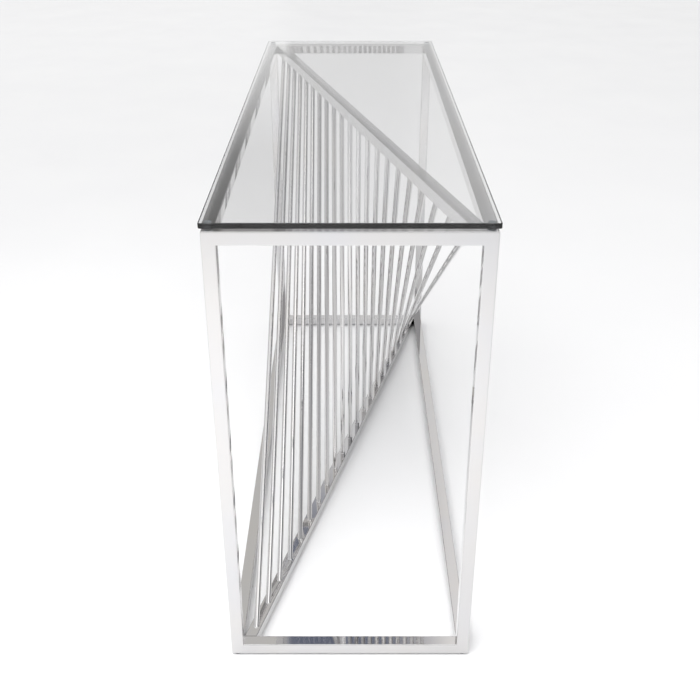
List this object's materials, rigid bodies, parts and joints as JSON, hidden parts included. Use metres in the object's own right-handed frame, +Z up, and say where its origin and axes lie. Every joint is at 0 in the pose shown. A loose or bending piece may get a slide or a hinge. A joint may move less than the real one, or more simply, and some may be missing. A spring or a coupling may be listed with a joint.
{
  "type": "console table",
  "caption": "Long narrow console table: polished square-tube box frame, leaning round rods between crossed diagonal bars, and a clear glass top.",
  "frame": {"origin": "on the floor, under the middle of the table", "axes": "+X along the table's length to its right, +Y from its front to its back, +Z up"},
  "size_m": [1.2, 0.4, 0.78],
  "materials": {
    "polished_tube": "mirror-polished stainless steel",
    "polished_rod": "polished stainless steel, drawn tube",
    "clear_glass": "clear toughened glass, ground and polished edges",
    "clear_silicone": "clear moulded silicone",
    "grey_nylon": "moulded nylon"
  },
  "bodies": {
    "frame": {"bottom_diagonal_bar": "polished_tube", "bottom_rail_back": "polished_tube", "bottom_rail_front": "polished_tube", "bottom_rail_left": "polished_tube", "bottom_rail_right": "polished_tube", "bumper_back_left": "clear_silicone", "bumper_back_right": "clear_silicone", "bumper_front_left": "clear_silicone", "bumper_front_right": "clear_silicone", "glide_back_left": "grey_nylon", "glide_back_right": "grey_nylon", "glide_front_left": "grey_nylon", "glide_front_right": "grey_nylon", "leg_back_left": "polished_tube", "leg_back_right": "polished_tube", "leg_front_left": "polished_tube", "leg_front_right": "polished_tube", "rod_01": "polished_rod", "rod_02": "polished_rod", "rod_03": "polished_rod", "rod_04": "polished_rod", "rod_05": "polished_rod", "rod_06": "polished_rod", "rod_07": "polished_rod", "rod_08": "polished_rod", "rod_09": "polished_rod", "rod_10": "polished_rod", "rod_11": "polished_rod", "rod_12": "polished_rod", "rod_13": "polished_rod", "rod_14": "polished_rod", "rod_15": "polished_rod", "rod_16": "polished_rod", "rod_17": "polished_rod", "rod_18": "polished_rod", "rod_19": "polished_rod", "rod_20": "polished_rod", "rod_21": "polished_rod", "top_diagonal_bar": "polished_tube", "top_rail_back": "polished_tube", "top_rail_front": "polished_tube", "top_rail_left": "polished_tube", "top_rail_right": "polished_tube"},
    "glass": {"glass_top": "clear_glass"}
  },
  "joints": [
    {"name": "glass_lift", "type": "slide", "parent": "frame", "child": "glass", "axis": [0, 0, 1], "range_m": [0, 0.15]}
  ]
}
